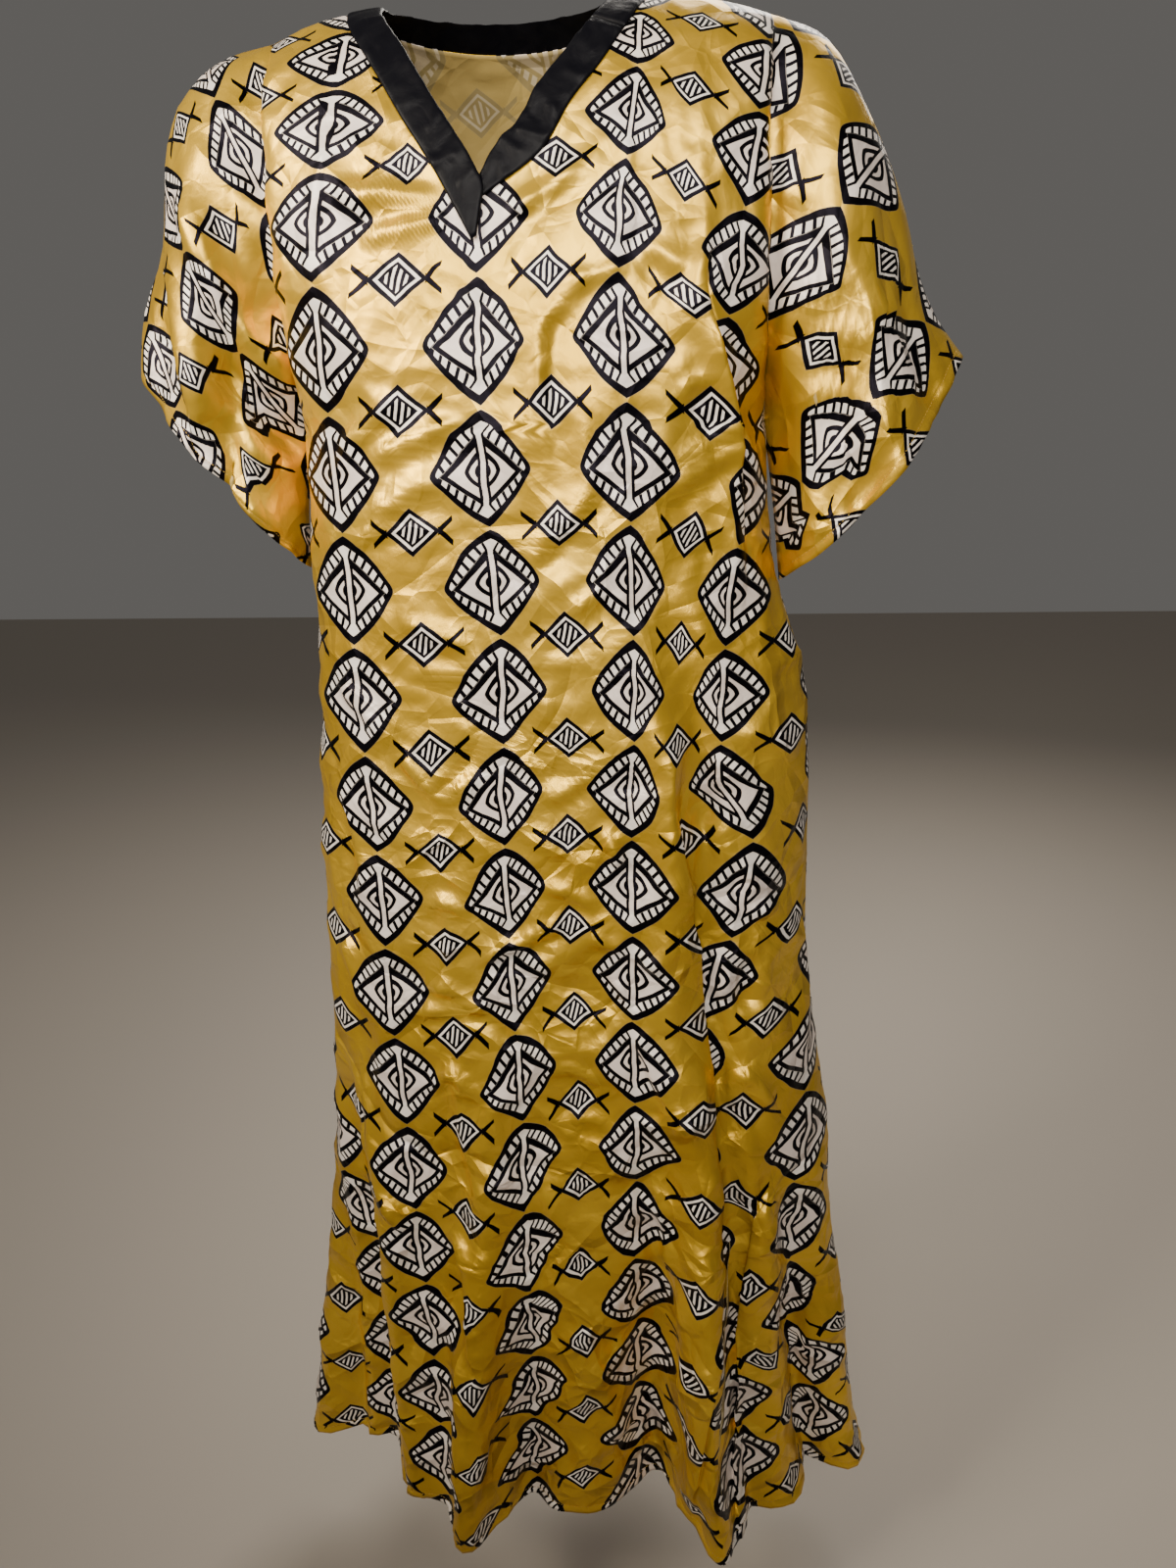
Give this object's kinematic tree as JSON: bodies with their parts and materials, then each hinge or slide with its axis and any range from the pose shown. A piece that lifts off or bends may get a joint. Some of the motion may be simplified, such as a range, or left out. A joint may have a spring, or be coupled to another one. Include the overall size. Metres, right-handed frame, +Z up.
{
  "type": "caftan",
  "caption": "Loose gold satin caftan with short wide sleeves, a black and cream geometric print and a black band round its V neck, worn and empty.",
  "frame": {"origin": "where the wearer's shoulders carry it: the middle of the shoulder line, at the height of the shoulder seams beside the neck", "axes": "+Z up along the worn garment, -Y out of its front, +X to the right of someone looking at the front"},
  "size_m": [0.6319, 0.3094, 1.2629],
  "materials": {
    "printed_satin": "satin",
    "black_satin": "satin"
  },
  "bodies": {
    "root": {"front_panel": "printed_satin", "back_panel": "printed_satin", "neckband_long": "black_satin", "neckband_short": "black_satin"}
  },
  "joints": []
}
